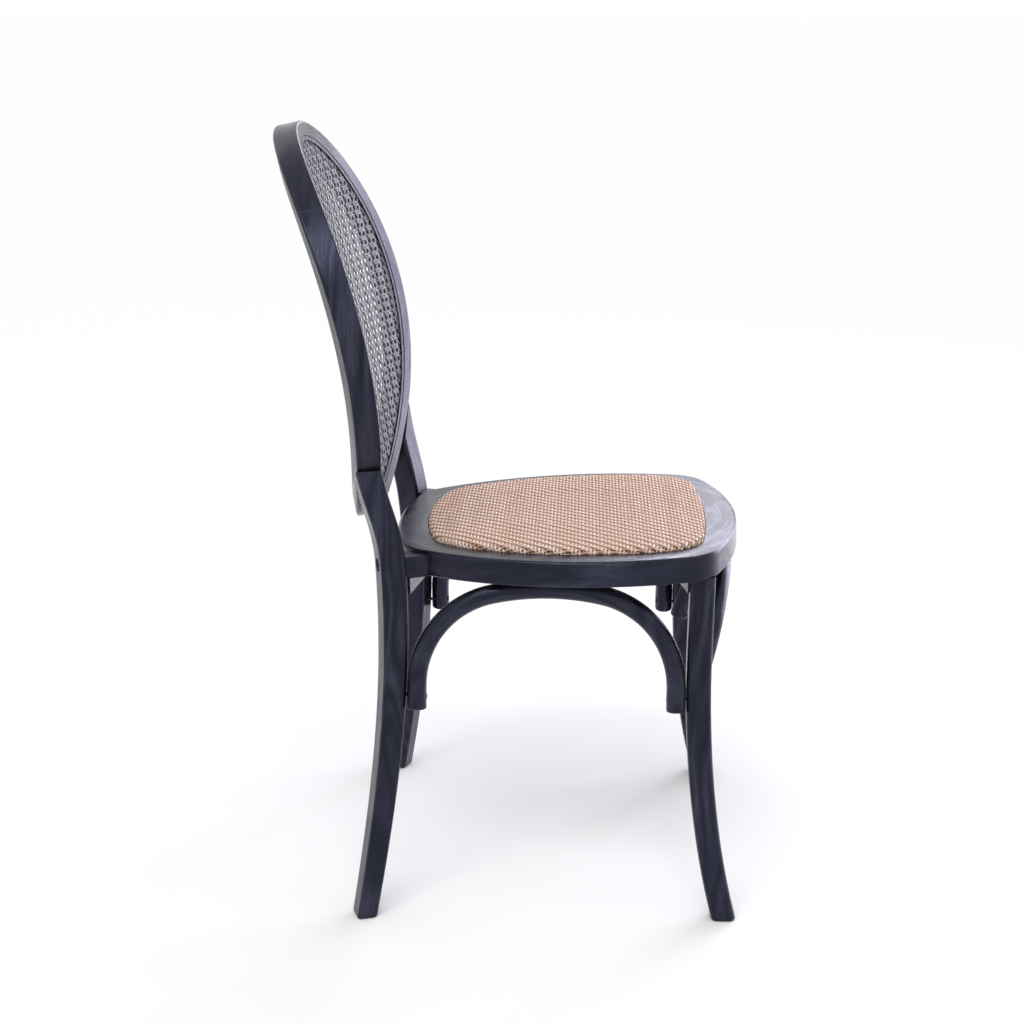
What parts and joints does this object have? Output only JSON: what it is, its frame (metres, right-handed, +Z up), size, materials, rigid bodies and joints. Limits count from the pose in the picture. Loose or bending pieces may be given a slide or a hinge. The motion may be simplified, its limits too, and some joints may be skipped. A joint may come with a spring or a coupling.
{
  "type": "bentwood bistro chair",
  "caption": "Bentwood bistro chair with an oval caned back, a rounded seat ring with a woven rattan pad, splayed legs and bent arches under the seat.",
  "frame": {"origin": "on the floor, under the middle of the chair's bounding box", "axes": "+Z up, the sitter faces -Y, +X to the sitter's left"},
  "size_m": [0.5224, 0.5839, 0.9551],
  "materials": {
    "black_wood": "satin black paint over open-grained bent wood",
    "black_cane": "black woven cane",
    "rattan": "natural woven rattan, satin",
    "plywood": "raw plywood",
    "foam": "soft foam",
    "beech": "raw hardwood dowel",
    "steel": "dark zinc"
  },
  "bodies": {
    "root": {"hoop_top": "black_wood", "hoop_right": "black_wood", "hoop_bottom": "black_wood", "hoop_left": "black_wood", "hoop_dowels": "beech", "post_dowels": "beech", "cane_panel": "black_cane", "cane_spline": "black_wood", "side_arch_right": "black_wood", "side_arch_left": "black_wood", "front_arch": "black_wood", "arch_end_screws": "steel", "arch_crown_screws": "steel", "rear_leg_right": "black_wood", "rear_leg_left": "black_wood", "front_leg_right": "black_wood", "front_leg_left": "black_wood", "rear_block_right": "black_wood", "rear_block_left": "black_wood", "front_block_right": "black_wood", "front_block_left": "black_wood", "block_screws": "steel", "rear_leg_bolts": "steel", "bolt_washers": "steel", "bolt_barrel_nuts": "steel", "seat_ring": "black_wood", "seat_board": "plywood", "seat_foam": "foam", "seat_weave": "rattan", "board_screws": "steel"}
  },
  "joints": []
}
